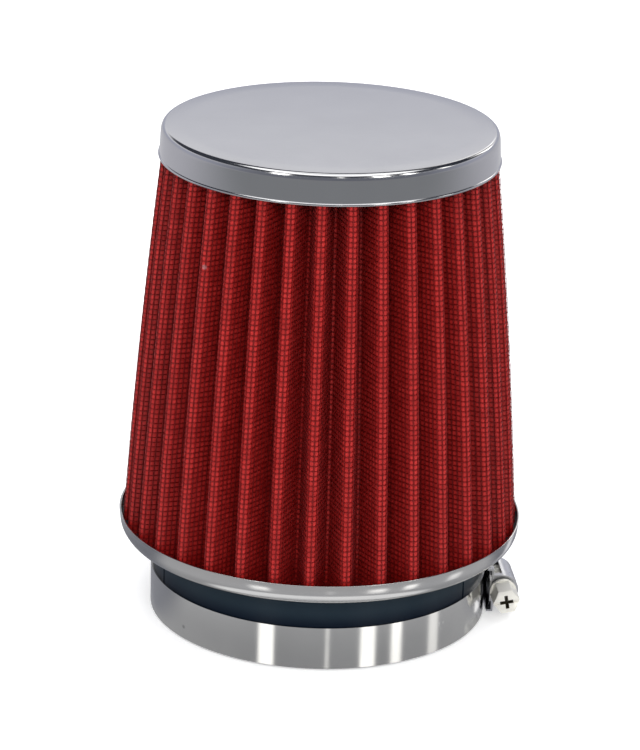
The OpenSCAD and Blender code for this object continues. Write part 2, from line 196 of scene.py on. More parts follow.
class Shader:
    """Short words for making and joining nodes in one tree."""

    def __init__(self, tree):
        self.tree = tree

    def node(self, kind, values=None, **settings):
        made = self.tree.nodes.new(kind)
        for key, value in settings.items():
            setattr(made, key, value)
        for key, value in (values or {}).items():
            self.put(made.inputs[key], value)
        return made

    def put(self, socket, value):
        if isinstance(value, bpy.types.NodeSocket):
            self.tree.links.new(value, socket)
        else:
            socket.default_value = value

    def math(self, operation, a, b=0.0, c=0.0, clamp=False):
        made = self.node("ShaderNodeMath", operation=operation, use_clamp=clamp)
        for socket, value in zip(made.inputs, (a, b, c)):
            self.put(socket, value)
        return made.outputs[0]

    def ramp(self, value, start, end, low=0.0, high=1.0):
        made = self.node("ShaderNodeMapRange", interpolation_type="SMOOTHSTEP")
        for key, number in zip(("Value", "From Min", "From Max", "To Min", "To Max"),
                               (value, start, end, low, high)):
            self.put(made.inputs[key], number)
        return made.outputs["Result"]

    def mix(self, factor, a, b):
        made = self.node("ShaderNodeMix", data_type="RGBA")
        self.put(made.inputs["Factor"], factor)
        self.put(made.inputs[6], a)
        self.put(made.inputs[7], b)
        return made.outputs[2]

    def noise(self, vector, scale, detail=3.0, roughness=0.5):
        made = self.node("ShaderNodeTexNoise", {"Vector": vector, "Scale": scale, "Detail": detail,
                                                "Roughness": roughness})
        return made.outputs["Fac"]

    def bump(self, height, strength, distance, normal=None):
        values = {"Height": height, "Strength": strength, "Distance": distance}
        if normal is not None:
            values["Normal"] = normal
        return self.node("ShaderNodeBump", values).outputs["Normal"]

    def spot(self, centre_mm, radius_mm):
        """1 inside a small round mark on a surface, 0 outside."""
        away = self.node("ShaderNodeVectorMath", {0: self.place(), 1: [MM * c for c in centre_mm]},
                         operation="DISTANCE")
        return self.ramp(away.outputs["Value"], radius_mm * MM, 0.5 * radius_mm * MM)

    def place(self, kind="Object"):
        return self.node("ShaderNodeTexCoord").outputs[kind]

    def stretched(self, vector, scale):
        return self.node("ShaderNodeMapping", {"Vector": vector, "Scale": scale}).outputs["Vector"]


def new_group(name, inputs, outputs):
    """An empty node group with named sockets: (name, kind, value)."""
    tree = bpy.data.node_groups.new(name, "ShaderNodeTree")
    for label, kind, value in inputs:
        socket = tree.interface.new_socket(name=label, in_out="INPUT", socket_type="NodeSocket" + kind)
        if value is not None:
            socket.default_value = value
    for label, kind in outputs:
        tree.interface.new_socket(name=label, in_out="OUTPUT", socket_type="NodeSocket" + kind)
    shader = Shader(tree)
    return tree, shader, shader.node("NodeGroupInput"), shader.node("NodeGroupOutput")


def polish_group():
    """Wiping marks and hazy patches on metal: a roughness and a normal that change over the surface."""
    tree, s, given, out = new_group(
        "Polish_Marks",
        [("Roughness", "Float", 0.15), ("Haze", "Float", 0.08), ("Marks", "Float", 0.1)],
        [("Roughness", "Float"), ("Normal", "Vector")])
    place = s.place()
    haze = s.ramp(s.noise(place, 55.0, 4.0, 0.6), 0.35, 0.72)
    fine = s.noise(s.stretched(place, (1.0, 1.0, 9.0)), 900.0, 2.0)
    wide = s.noise(place, 28.0, 2.0)
    rough = s.math("ADD", given.outputs["Roughness"], s.math("MULTIPLY", haze, given.outputs["Haze"]))
    s.put(out.inputs["Roughness"], s.math("MULTIPLY_ADD", fine, 0.03, rough))
    height = s.math("MULTIPLY_ADD", fine, 0.08, wide)
    s.put(out.inputs["Normal"], s.bump(height, given.outputs["Marks"], 0.0004))
    return tree


def dust_group():
    """Pale specks and a thin film of dust over a colour."""
    tree, s, given, out = new_group(
        "Dust_Film",
        [("Color", "Color", (0.02, 0.02, 0.02, 1)), ("Dust", "Color", (0.35, 0.36, 0.38, 1)),
         ("Amount", "Float", 0.1)],
        [("Color", "Color"), ("Mask", "Float")])
    place = s.place()
    film = s.ramp(s.noise(place, 70.0, 5.0, 0.65), 0.42, 0.78)
    specks = s.ramp(s.noise(place, 900.0, 2.0), 0.7, 0.78)
    mask = s.math("MULTIPLY", s.math("MAXIMUM", film, specks), given.outputs["Amount"])
    s.put(out.inputs["Mask"], mask)
    s.put(out.inputs["Color"], s.mix(mask, given.outputs["Color"], given.outputs["Dust"]))
    return tree


def tint_group():
    """Uneven colour of a coat or a dye: patches between a deep and a bright tone."""
    tree, s, given, out = new_group(
        "Uneven_Tint",
        [("Deep", "Color", (0.2, 0.0, 0.0, 1)), ("Bright", "Color", (0.6, 0.0, 0.0, 1)),
         ("Size", "Float", 200.0)],
        [("Color", "Color"), ("Mask", "Float")])
    place = s.place()
    mask = s.ramp(s.noise(place, given.outputs["Size"], 3.0, 0.6), 0.3, 0.7)
    s.put(out.inputs["Mask"], mask)
    s.put(out.inputs["Color"], s.mix(mask, given.outputs["Deep"], given.outputs["Bright"]))
    return tree


POLISH = polish_group()
DUST = dust_group()
TINT = tint_group()


def new_material(name):
    material = bpy.data.materials.new(name)
    material.use_nodes = True
    material.node_tree.nodes.clear()
    s = Shader(material.node_tree)
    principled = s.node("ShaderNodeBsdfPrincipled")
    output = s.node("ShaderNodeOutputMaterial", {"Surface": principled.outputs["BSDF"]})
    output.target = "ALL"
    return material, s, principled


def metal_finish(name, deep, bright, roughness, haze, marks, anisotropic=0.0, metallic=1.0, spots=()):
    """Plated or polished metal with an uneven tone, wiping marks and hazy patches; spots are small marks
    as (centre and radius in mm, colour)."""
    material, s, shader = new_material(name)
    tint = s.node("ShaderNodeGroup", node_tree=TINT)
    tint.inputs["Deep"].default_value = (*deep, 1)
    tint.inputs["Bright"].default_value = (*bright, 1)
    tint.inputs["Size"].default_value = 40.0
    polish = s.node("ShaderNodeGroup", node_tree=POLISH)
    polish.inputs["Roughness"].default_value = roughness
    polish.inputs["Haze"].default_value = haze
    polish.inputs["Marks"].default_value = marks
    tone = tint.outputs["Color"]
    for centre, radius, colour in spots:
        tone = s.mix(s.spot(centre, radius), tone, (*colour, 1))
    s.put(shader.inputs["Base Color"], tone)
    s.put(shader.inputs["Roughness"], polish.outputs["Roughness"])
    s.put(shader.inputs["Normal"], polish.outputs["Normal"])
    shader.inputs["Metallic"].default_value = metallic
    if anisotropic:
        shader.inputs["Anisotropic"].default_value = anisotropic
        shader.inputs["Anisotropic Rotation"].default_value = 0.25
        tangent = s.node("ShaderNodeTangent", direction_type="RADIAL", axis="Z")
        s.put(shader.inputs["Tangent"], tangent.outputs["Tangent"])
    return material


def black_finish(name, colour, dust, roughness, ripple, specular=0.5, oil=None, painted_shade_below=None):
    """Moulded or cast black material with a soft shine, shallow ripples and some dust; the filter's red
    oil may have crept over it inside a radius, and painted shade may darken it below a height."""
    material, s, shader = new_material(name)
    film = s.node("ShaderNodeGroup", node_tree=DUST)
    film.inputs["Color"].default_value = (*colour, 1)
    film.inputs["Amount"].default_value = dust
    place = s.place()
    waves = s.noise(place, 120.0, 3.0)
    grain = s.noise(place, 2200.0, 2.0)
    tone = film.outputs["Color"]
    if oil:
        flat = s.node("ShaderNodeVectorMath", {0: place, 1: (1, 1, 0)}, operation="MULTIPLY")
        reach = s.node("ShaderNodeVectorMath", {0: flat.outputs["Vector"]}, operation="LENGTH")
        tone = s.mix(s.ramp(reach.outputs["Value"], oil, oil - 2 * MM), tone, (0.09, 0.003, 0.003, 1))
    if painted_shade_below:
        # Painted shade: darker towards the bottom, below the given height
        height = s.node("ShaderNodeSeparateXYZ", {"Vector": place}).outputs["Z"]
        tone = s.mix(s.ramp(height, painted_shade_below - 5 * MM, painted_shade_below), (0.002, 0.006, 0.014, 1), tone)
    s.put(shader.inputs["Base Color"], tone)
    shader.inputs["Specular IOR Level"].default_value = specular
    s.put(shader.inputs["Roughness"], s.math("MULTIPLY_ADD", film.outputs["Mask"], 0.5, roughness))
    height = s.math("MULTIPLY_ADD", grain, 0.05, waves)
    s.put(shader.inputs["Normal"], s.bump(height, ripple, 0.0006))
    return material


def painted_shade_in_folds(s):
    """How deep a point lies in the folds, 0 on the ridges' crests to 1; it drives painted shade that darkens the
    folds.
    """
    spot = s.node("ShaderNodeSeparateXYZ", {"Vector": s.place()})
    flat = s.node("ShaderNodeCombineXYZ", {"X": spot.outputs["X"], "Y": spot.outputs["Y"]})
    r = s.node("ShaderNodeVectorMath", {0: flat.outputs["Vector"]}, operation="LENGTH").outputs["Value"]
    slope = (ridge_head_r - ridge_foot_r) / (head_z - foot_z)
    crest = s.math("MULTIPLY_ADD", spot.outputs["Z"], slope, ridge_foot_r - slope * foot_z + 0.7 * BELLY)
    return s.ramp(s.math("SUBTRACT", crest, r), 0.6 * MM, 2.4 * MM)


def with_fold_shade_and_lint(s, tone):
    """The red coat's tone with painted shade in the folds and crests painted a little brighter, with one piece of
    pale lint.
    """
    # Painted shade: darker deep in the folds, a little brighter on the crests
    light = s.math("MULTIPLY_ADD", painted_shade_in_folds(s), -0.3, 1.12)
    shaded = s.node("ShaderNodeVectorMath", {0: tone, "Scale": light}, operation="SCALE").outputs["Vector"]
    return s.mix(s.math("MULTIPLY", s.spot(LINT_AT, 0.9), 0.4), shaded, (0.5, 0.3, 0.3, 1))


def wire_finish():
    """Red enamel on the wires, with painted shade in the folds."""
    material, s, shader = new_material("red_enamel_wire")
    tint = s.node("ShaderNodeGroup", node_tree=TINT)
    tint.inputs["Deep"].default_value = (0.13, 0.003, 0.003, 1)
    tint.inputs["Bright"].default_value = (0.2, 0.005, 0.005, 1)
    tint.inputs["Size"].default_value = 420.0
    s.put(shader.inputs["Base Color"], with_fold_shade_and_lint(s, tint.outputs["Color"]))
    s.put(shader.inputs["Roughness"], s.math("MULTIPLY_ADD", tint.outputs["Mask"], 0.15, 0.4))
    shader.inputs["Specular IOR Level"].default_value = 0.3
    return material


def gauze_finish():
    """Oiled red cotton gauze that swells a little through the wires, with painted shade where it dips under them;
    its UVs count the wires.
    """
    material, s, shader = new_material("oiled_red_gauze")
    tint = s.node("ShaderNodeGroup", node_tree=TINT)
    tint.inputs["Deep"].default_value = (0.27, 0.006, 0.005, 1)
    tint.inputs["Bright"].default_value = (0.38, 0.015, 0.013, 1)
    tint.inputs["Size"].default_value = 260.0
    cells = s.node("ShaderNodeSeparateXYZ", {"Vector": s.place("UV")})
    across = s.math("ABSOLUTE", s.math("SINE", s.math("MULTIPLY", cells.outputs["X"], math.pi)))
    up = s.math("ABSOLUTE", s.math("SINE", s.math("MULTIPLY", cells.outputs["Y"], math.pi)))
    swell = s.math("POWER", s.math("MULTIPLY", across, up), 0.5)
    threads = s.noise(s.stretched(s.place(), (1.0, 1.0, 2.2)), 3200.0, 2.0)
    height = s.math("MULTIPLY_ADD", threads, 0.25, swell)
    # Painted shade: the gauze turns dark red where it dips under the wires, between the pads
    pads = s.mix(s.ramp(swell, 0.3, 0.9), (0.16, 0.003, 0.003, 1), tint.outputs["Color"])
    s.put(shader.inputs["Base Color"], with_fold_shade_and_lint(s, pads))
    s.put(shader.inputs["Roughness"], s.math("MULTIPLY_ADD", threads, 0.2, 0.5))
    s.put(shader.inputs["Normal"], s.bump(height, 0.5, 0.00015))
    shader.inputs["Specular IOR Level"].default_value = 0.3
    return material


# Small marks that the photograph shows: a dark dot and a few pale scratches on the band
BAND_MARKS = [((-42.2, -27.9, 4.3), 0.8, (0.36, 0.36, 0.36)), ((32.4, -38.9, 9.4), 0.45, (0.7, 0.7, 0.7)),
              ((32.4, -38.9, 8.6), 0.4, (0.7, 0.7, 0.7)), ((33.6, -37.8, 9.1), 0.45, (0.7, 0.7, 0.7)),
              ((32.9, -38.4, 7.4), 0.4, (0.66, 0.66, 0.66))]
LINT_AT = (-38.3, -33.8, 118.1)
CHROME_CAP = metal_finish("chrome_of_cap", (0.54, 0.54, 0.56), (0.56, 0.56, 0.58), 0.1, 0.02, 0.008)
CHROME_RING = metal_finish("chrome_of_ring", (0.53, 0.53, 0.54), (0.57, 0.565, 0.57), 0.12, 0.03, 0.015)
CLAMP_STEEL = metal_finish("polished_clamp_steel", (0.53, 0.53, 0.53), (0.57, 0.57, 0.57), 0.11, 0.03,
                           0.02, anisotropic=0.8, spots=BAND_MARKS)
HOUSING_STEEL = metal_finish("pressed_housing_steel", (0.55, 0.55, 0.58), (0.64, 0.64, 0.67), 0.2, 0.1, 0.06)
NICKEL = metal_finish("nickel_of_screw", (0.86, 0.84, 0.77), (0.94, 0.92, 0.85), 0.24, 0.1, 0.08, metallic=0.5)
CORE_ZINC = metal_finish("zinc_of_core", (0.42, 0.43, 0.45), (0.58, 0.58, 0.6), 0.35, 0.15, 0.1)
NECK_BLACK = black_finish("moulded_neck_black", (0.011, 0.021, 0.031), 0.008, 0.32, 0.04, specular=0.1,
                          painted_shade_below=18.5 * MM)
POTTING = black_finish("cast_potting_black", (0.008, 0.014, 0.018), 0.06, 0.4, 0.25, specular=0.3,
                       oil=57.5 * MM)
# Painted shade for the screw's driver recess: a dark material on the faces down in the slot and cross
RECESS_SHADE = black_finish("painted_shade_in_recess", (0.03, 0.022, 0.012), 0.05, 0.5, 0.1)
RED_WIRE = wire_finish()
RED_GAUZE = gauze_finish()


# Cap and ring


def drawn_cap():
    """Drawn cap: flat plate, rounded shoulder, skirt with a little draft, hem rolled to a bead."""
    top = cap_high.z
    hem = cap_low.z
    bead = (cap_r - CAP_BEAD_R, hem + CAP_BEAD_R)
    wall_foot = (cap_wall_r, hem + 2 * CAP_BEAD_R)
    draft = math.atan2(CAP_DRAFT, top - wall_foot[1])
    turn = math.radians(CAP_RUN_OUT_FROM)
    extra = CAP_RUN_OUT_R - CAP_SHOULDER_R
    wall_top_z = top - CAP_SHOULDER_R - extra * math.sin(turn) + CAP_RUN_OUT_R * math.sin(draft)
    wall_top_r = cap_wall_r - (wall_top_z - wall_foot[1]) * math.tan(draft)
    run_out = (wall_top_r - CAP_RUN_OUT_R * math.cos(draft), wall_top_z - CAP_RUN_OUT_R * math.sin(draft))
    shoulder = (run_out[0] + extra * math.cos(turn), run_out[1] + extra * math.sin(turn))
    outer_arc = (arc(shoulder, CAP_SHOULDER_R, 90, CAP_RUN_OUT_FROM, 12)
                 + arc(run_out, CAP_RUN_OUT_R, CAP_RUN_OUT_FROM, math.degrees(draft), 8)[1:])
    inner_arc = arc(shoulder, CAP_SHOULDER_R - CAP_SHEET, 0, 90, 8)
    plate = [(shoulder[0] * k / 8, top) for k in range(8)]
    under = [(r, top - CAP_SHEET) for r, z in reversed(plate)]
    rolled = arc(bead, CAP_BEAD_R, 60, -180, 16)
    inside = [(cap_wall_r - CAP_SHEET, wall_foot[1])]
    profile = plate + outer_arc + [wall_foot] + rolled + inside + inner_arc + under
    mesh = turned_mesh("drawn_cap", profile)
    return put_piece("drawn_cap", mesh, "filter", CHROME_CAP, ["top_cap"])


def base_pan():
    """Base ring: a shallow pan with a rounded floor edge, a wall that flares a little and a plain lip."""
    floor, lip = ring_low.z, ring_high.z
    hole_r = neck_outer_r + SEAT
    round_at = (ring_wall_r - RING_ROUND_R, floor + RING_ROUND_R)
    outside = arc(round_at, RING_ROUND_R, -90, 0, 14)
    inside = arc(round_at, RING_ROUND_R - RING_SHEET, 0, -90, 10)
    outer_edge = arc((ring_r - RING_EDGE_R, lip - RING_EDGE_R), RING_EDGE_R, 0, 90, 4)
    inner_edge = arc((ring_r - RING_SHEET + RING_EDGE_R, lip - RING_EDGE_R), RING_EDGE_R, 90, 180, 4)
    profile = [(hole_r, floor)] + outside + outer_edge + inner_edge + inside + [(hole_r, floor + RING_SHEET)]
    mesh = turned_mesh("base_pan", profile)
    return put_piece("base_pan", mesh, "filter", CHROME_RING, ["base_ring"])


# Pleated pack


def fold_path(ridge_r, s):
    """Plan of the folded sheet over one pleat, from one ridge's crest to the next."""
    half_pitch = math.pi / PLEATS
    ridge_c = ridge_r - PACK_T / 2 - FOLD_R
    valley_c = ridge_c - (PLEAT_DEPTH - PACK_T - 2 * FOLD_R)
    across = valley_c * math.sin(half_pitch)
    inward = ridge_c - valley_c * math.cos(half_pitch)
    leg = math.atan2(across, inward) - math.asin(2 * FOLD_R / math.hypot(across, inward))
    ridge_half = math.pi / 2 - leg
    valley_half = ridge_half - half_pitch
    points = []
    for centre, radius, at, start, end, sign in (
            (ridge_c, FOLD_R + s, 0, 0, ridge_half, 1),
            (valley_c, FOLD_R - s, half_pitch, -valley_half, valley_half, -1),
            (ridge_c, FOLD_R + s, 2 * half_pitch, -ridge_half, 0, 1)):
        for turn in np.linspace(start, end, 25):
            radial = centre + sign * radius * math.cos(turn)
            sideways = radius * math.sin(turn)
            points.append((radial * math.cos(at) - sideways * math.sin(at),
                           radial * math.sin(at) + sideways * math.cos(at)))
    return np.array(points)


def whole_ring(ridge_r, s):
    """Plan of the folded sheet all the way round, with its first point repeated at the end."""
    one = fold_path(ridge_r, s)[:-1]
    first_ridge = PACK_TURN - math.pi / 2 + math.pi / PLEATS
    turned = []
    for pleat in range(PLEATS):
        a = first_ridge + 2 * math.pi * pleat / PLEATS
        spin = np.array([[math.cos(a), -math.sin(a)], [math.sin(a), math.cos(a)]])
        turned.append(one @ spin.T)
    ring = np.concatenate(turned)
    return np.concatenate([ring, ring[:1]])


def even_cuts(ridge_r, s, count, drift):
    """The ring cut into equal lengths, each cut shifted a little: points and outward normals."""
    ring = whole_ring(ridge_r, s)
    lengths = np.concatenate([[0], np.cumsum(np.linalg.norm(np.diff(ring, axis=0), axis=1))])
    total = lengths[-1]

    def along(at):
        return np.stack([np.interp(at % total, lengths, ring[:, k]) for k in (0, 1)], 1)

    at = total * np.arange(count) / count + drift
    small = 0.12 * MM
    way = along(at + small) - along(at - small)
    normal = np.stack([way[:, 1], -way[:, 0]], 1)
    return along(at), normal / np.linalg.norm(normal, axis=1)[:, None]


def slow_waves(u, v, waves):
    """Smooth uneven numbers from a few waves (turns round, turns up, phase), which close round the pack."""
    return sum(np.sin(2 * math.pi * (round_ * u + up * v) + phase) for round_, up, phase in waves) / len(waves)


def folded_grid(s, count, rows, offset=0.0):
    """Points and normals of the folded sheet on a grid of heights and columns; the rows wander a little."""
    u = np.arange(count) / count
    drift = [WIRE_WANDER * slow_waves(u, 0, waves) for waves in
             (((13, 0, 0.4), (41, 0, 2.0)), ((9, 0, 1.3), (37, 0, 4.1)))]
    foot, foot_n = even_cuts(ridge_foot_r, s, count, drift[0])
    head, head_n = even_cuts(ridge_head_r, s, count, drift[1])
    t = np.broadcast_to(((rows - foot_z) / (head_z - foot_z))[:, None], (len(rows), count))
    ends = np.minimum(1, 12 * np.minimum(t, 1 - t))
    wander = 1.6 * WIRE_WANDER * slow_waves(u[None], t, ((11, 1.7, 0.9), (29, -2.3, 2.2), (47, 3.1, 5.0)))
    z = rows[:, None] + wander * ends
    t = ((z - foot_z) / (head_z - foot_z))[..., None]
    flat = foot[None] * (1 - t) + head[None] * t
    normal = foot_n[None] * (1 - t) + head_n[None] * t
    normal /= np.linalg.norm(normal, axis=2)[..., None]
    outward = flat / np.linalg.norm(flat, axis=2)[..., None]
    flat = flat + outward * BELLY * 4 * t * (1 - t) + normal * np.asarray(offset)[..., None]
    return np.concatenate([flat, z[..., None]], 2), np.concatenate([normal, np.zeros_like(t)], 2)


def tube_quads(rows, columns, sides, closed):
    """Faces of tubes laid out as [tube, station, side]; closed tubes join their last station to the first."""
    stations = columns if closed else columns - 1
    tube, station, side = np.meshgrid(np.arange(rows), np.arange(stations), np.arange(sides), indexing="ij")

    def index(station_at, side_at):
        return (tube * columns + station_at % columns) * sides + side_at % sides

    quads = np.stack([index(station, side), index(station, side + 1),
                      index(station + 1, side + 1), index(station + 1, side)], -1)
    return quads.reshape(-1, 4)


def wire_heights(per_cell=1):
    count = round((head_z - foot_z) / WIRE_PITCH) * per_cell
    return np.linspace(foot_z + WIRE_R, head_z - WIRE_R, count + 1)


def woven_wires():
    """Wire cloth on the pack's outside: upright wires and cross wires that pass over and under."""
    heights = wire_heights()
    rows = len(heights)
    columns = WIRES_AROUND
    weave = np.where((np.arange(rows)[:, None] + np.arange(columns)[None]) % 2, CRIMP, -CRIMP)
    centres, normals = folded_grid(WIRE_S, columns, heights)
    up = np.array([0, 0, 1.0])
    beside = np.cross(up, normals)
    sides = 3
    turns = [math.pi / 2 + 2 * math.pi * k / sides for k in range(sides)]
    upright = np.stack([centres + normals * (weave + WIRE_R * math.sin(a))[..., None]
                        + beside * (WIRE_R * math.cos(a)) for a in turns], 2)
    cross = np.stack([centres + normals * (-weave + WIRE_R * math.sin(a))[..., None]
                      + up * (WIRE_R * math.cos(a)) for a in turns], 2)
    upright = upright.transpose(1, 0, 2, 3)
    made = []
    half_columns = columns // 2
    half_rows = rows // 2
    for name, tubes, closed in (("upright_wires_right", upright[:half_columns], False),
                                ("upright_wires_left", upright[half_columns:], False),
                                ("cross_wires_low", cross[:half_rows], True),
                                ("cross_wires_high", cross[half_rows:], True)):
        quads = tube_quads(tubes.shape[0], tubes.shape[1], sides, closed)
        mesh = fast_mesh(name, tubes.reshape(-1, 3), quads)
        made.append(put_piece(name, mesh, "filter", RED_WIRE,
                              ["outer_screen"] if not made else ()))
    return made


def folded_gauze():
    """The gauze between the screens, which swells out between the wires; its UVs count the wires."""
    per_cell = 2
    heights = wire_heights(per_cell)
    columns = WIRES_AROUND * per_cell
    rng = np.random.default_rng(11)
    cells = rng.uniform(0.75, 1.15, (len(heights) // per_cell + 1, WIRES_AROUND))
    row, column = np.meshgrid(np.arange(len(heights)), np.arange(columns), indexing="ij")
    middle = (row % per_cell == 1) & (column % per_cell == 1)
    swell = np.where(middle, PAD_SWELL * cells[row // per_cell, column // per_cell], 0.0)
    outside = folded_grid(GAUZE_S, columns, heights, swell)[0]
    inside = folded_grid(-PACK_T / 2 + SCREEN_T + SEAT, columns, heights)[0]
    half = len(heights) // 2 // per_cell * per_cell
    for name, low, high in (("folded_gauze_low", 0, half), ("folded_gauze_high", half, len(heights) - 1)):
        rows = high - low + 1
        points = np.concatenate([outside[low:high + 1].reshape(-1, 3), inside[low], inside[high]])
        row, column = np.meshgrid(np.arange(rows - 1), np.arange(columns), indexing="ij")
        beside = (column + 1) % columns
        front = np.stack([row * columns + column, row * columns + beside,
                          (row + 1) * columns + beside, (row + 1) * columns + column], -1).reshape(-1, 4)
        ring = np.arange(columns)
        ring_next = (ring + 1) % columns
        back_low, back_high = rows * columns, (rows + 1) * columns
        top = (rows - 1) * columns
        back = np.stack([back_low + ring, back_high + ring, back_high + ring_next, back_low + ring_next], -1)
        low_edge = np.stack([ring, ring + back_low, ring_next + back_low, ring_next], -1)
        high_edge = np.stack([top + ring, top + ring_next, back_high + ring_next, back_high + ring], -1)
        mesh = fast_mesh(name, points, np.concatenate([front, back, low_edge, high_edge]))
        mesh.set_sharp_from_angle(angle=math.radians(60))
        u, v = column / per_cell, (row + low) / per_cell
        step = 1 / per_cell
        front_uv = np.stack([np.stack([u, u + step, u + step, u], -1),
                             np.stack([v, v, v + step, v + step], -1)], -1).reshape(-1, 2)
        rest_uv = np.zeros((12 * columns, 2))
        mesh.uv_layers.new(name="wires").data.foreach_set(
            "uv", np.concatenate([front_uv, rest_uv]).astype(np.float32).ravel())
        put_piece(name, mesh, "filter", RED_GAUZE, ["filter_gauze"] if low == 0 else ())


def dress_node(name, material, edge=None):
    """A model node that keeps its shape gets its finish, and softly broken edges where asked."""
    piece = nodes[name]
    piece.data.materials.clear()
    piece.data.materials.append(material)
    if edge:
        bevel = piece.modifiers.new("broken_edges", "BEVEL")
        bevel.width = edge
        bevel.segments = 2
        bevel.limit_method = "ANGLE"
        bevel.angle_limit = math.radians(30)
        bevel.harden_normals = True
    return piece


# Clamp


def screw_frame():
    """Places points of the screw, given as (forward, right, up) from its collar's back, in the model."""
    axis = Vector(((screw_low.x + screw_high.x) / 2, 0, (screw_low.z + screw_high.z) / 2))
    collar_back = screw_low.y + HEX_L + COLLAR_T
    return lambda forward, right, up: (axis.x + right, collar_back - forward, axis.z + up)


def lathe_rings(place, rings, around):
    """A closed solid from rings of (forward, radius at each angle), capped at both ends."""
    points, faces = [], []
    for forward, radius_at in rings:
        for i in range(around):
            a = 2 * math.pi * i / around
            ahead = forward(a) if callable(forward) else forward
            r = radius_at(a) if callable(radius_at) else radius_at
            points.append(place(ahead, r * math.cos(a), r * math.sin(a)))
    for k in range(len(rings) - 1):
        for i in range(around):
            beside = (i + 1) % around
            faces.append((k * around + i, k * around + beside, (k + 1) * around + beside, (k + 1) * around + i))
    last = (len(rings) - 1) * around
    faces.append(tuple(range(around))[::-1])
    faces.append(tuple(last + i for i in range(around)))
    return points, faces


def worm_screw():
    """The clamp's screw: chamfered hexagon with slot and cross, collar, shaft and a real worm thread."""
    place = screw_frame()
    around = 72
    face_r = HEX_AF / 2 * 0.93

    def hexagon(a):
        return HEX_AF / 2 / math.cos((a - SCREW_TURN) % (math.pi / 3) - math.pi / 6)

    def chamfered(depth):
        return lambda a: HEX_L + COLLAR_T - depth - (hexagon(a) - face_r) * math.tan(math.radians(24))

    head = lathe_rings(place, [(COLLAR_T * 0.5, hexagon), (chamfered(0), hexagon),
                               (HEX_L + COLLAR_T, face_r)], around)
    worm_back = screw_low.y + HEX_L + COLLAR_T - screw_high.y
    edge = 0.15 * MM
    back = [(worm_back, JOURNAL_R - edge), (worm_back + edge, JOURNAL_R), (worm_back + 1.9 * MM, JOURNAL_R),
            (worm_back + 1.9 * MM, WORM_ROOT_R), (-1.0 * MM, WORM_ROOT_R), (-1.0 * MM, JOURNAL_R),
            (-0.01 * MM, JOURNAL_R), (0.0, COLLAR_R - edge), (edge, COLLAR_R),
            (COLLAR_T - edge, COLLAR_R), (COLLAR_T, COLLAR_R - edge)]
    shaft = lathe_rings(place, back, around)
    thread_from, thread_to = worm_back + 2.0 * MM, -1.05 * MM
    section = [(-0.75, WORM_ROOT_R - 0.1 * MM), (-0.32, WORM_R), (0.32, WORM_R), (0.75, WORM_ROOT_R - 0.1 * MM)]
    per_turn = 28
    steps = int((thread_to - thread_from - 1.6 * MM) / WORM_PITCH * per_turn)
    points, faces = [], []
    for k in range(steps + 1):
        a = 2 * math.pi * k / per_turn
        fade = min(1, k / 10, (steps - k) / 10)
        for along_mm, r in section:
            height = WORM_ROOT_R - 0.1 * MM + (r - WORM_ROOT_R + 0.1 * MM) * fade
            forward = thread_from + 0.8 * MM + WORM_PITCH * k / per_turn + along_mm * MM
            points.append(place(forward, height * math.cos(a), height * math.sin(a)))
    for k in range(steps):
        for i in range(4):
            beside = (i + 1) % 4
            faces.append((4 * k + i, 4 * k + beside, 4 * k + 4 + beside, 4 * k + 4 + i))
    faces += [(3, 2, 1, 0), (4 * steps, 4 * steps + 1, 4 * steps + 2, 4 * steps + 3)]
    mesh = mesh_from("screw_head", *head)
    tidy_normals(mesh)
    cut_driver(mesh, place)
    joined = bmesh.new()
    joined.from_mesh(mesh)
    for part_points, part_faces in (shaft, (points, faces)):
        part = mesh_from("screw_part", part_points, part_faces)
        tidy_normals(part)
        joined.from_mesh(part)
        bpy.data.meshes.remove(part)
    joined.to_mesh(mesh)
    joined.free()
    mesh.shade_smooth()
    mesh.set_sharp_from_angle(angle=math.radians(28))
    mesh.name = "worm_screw"
    piece = put_piece("worm_screw", mesh, "screw", NICKEL, ["clamp_screw"])
    # The faces down in the slot and the cross take the painted shade
    mesh.materials.append(RECESS_SHADE)
    axis = Vector(place(0, 0, 0))
    for face in mesh.polygons:
        middle = face.center - axis
        depth = face.center.y - screw_low.y
        sideways = math.hypot(middle.x, middle.z)
        c, s = math.cos(SCREW_TURN), math.sin(SCREW_TURN)
        across, along = middle.x * c + middle.z * s, middle.z * c - middle.x * s
        in_arms = min(abs(across), abs(along)) < 0.53 * MM and sideways < 2.15 * MM
        if 0.52 * MM < depth < 3 * MM and in_arms:
            face.material_index = 1
    return piece


def cut_driver(mesh, place):
    """Cuts the shallow slot and the deep cross arm into the screw's head."""
    face = HEX_L + COLLAR_T
    for half_w, half_l, depth in ((0.5 * MM, 2 * HEX_AF, 0.5 * MM), (0.52 * MM, 2 * MM, 1.6 * MM),
                                  (2.1 * MM, 0.52 * MM, 2.6 * MM)):
        turned = []
        for forward in (face - depth, face + depth):
            for right, up in ((-half_l, -half_w), (half_l, -half_w), (half_l, half_w), (-half_l, half_w)):
                c, s = math.cos(SCREW_TURN), math.sin(SCREW_TURN)
                turned.append(place(forward, right * c - up * s, right * s + up * c))
        cutter = mesh_from("driver_cutter", turned, [(0, 1, 2, 3), (7, 6, 5, 4), (0, 4, 5, 1),
                                                     (1, 5, 6, 2), (2, 6, 7, 3), (3, 7, 4, 0)])
        tidy_normals(cutter)
        blank = bpy.data.objects.new("driver_blank", mesh)
        tool = bpy.data.objects.new("driver_tool", cutter)
        for thing in (blank, tool):
            bpy.context.scene.collection.objects.link(thing)
        cut = blank.modifiers.new("driver", "BOOLEAN")
        cut.operation = "DIFFERENCE"
        cut.solver = "EXACT"
        cut.object = tool
        bpy.context.view_layer.update()
        made = bpy.data.meshes.new_from_object(blank.evaluated_get(bpy.context.evaluated_depsgraph_get()))
        for thing in (blank, tool):
            bpy.data.objects.remove(thing)
        work = bmesh.new()
        work.from_mesh(made)
        work.to_mesh(mesh)
        work.free()
        bpy.data.meshes.remove(made)
        bpy.data.meshes.remove(cutter)


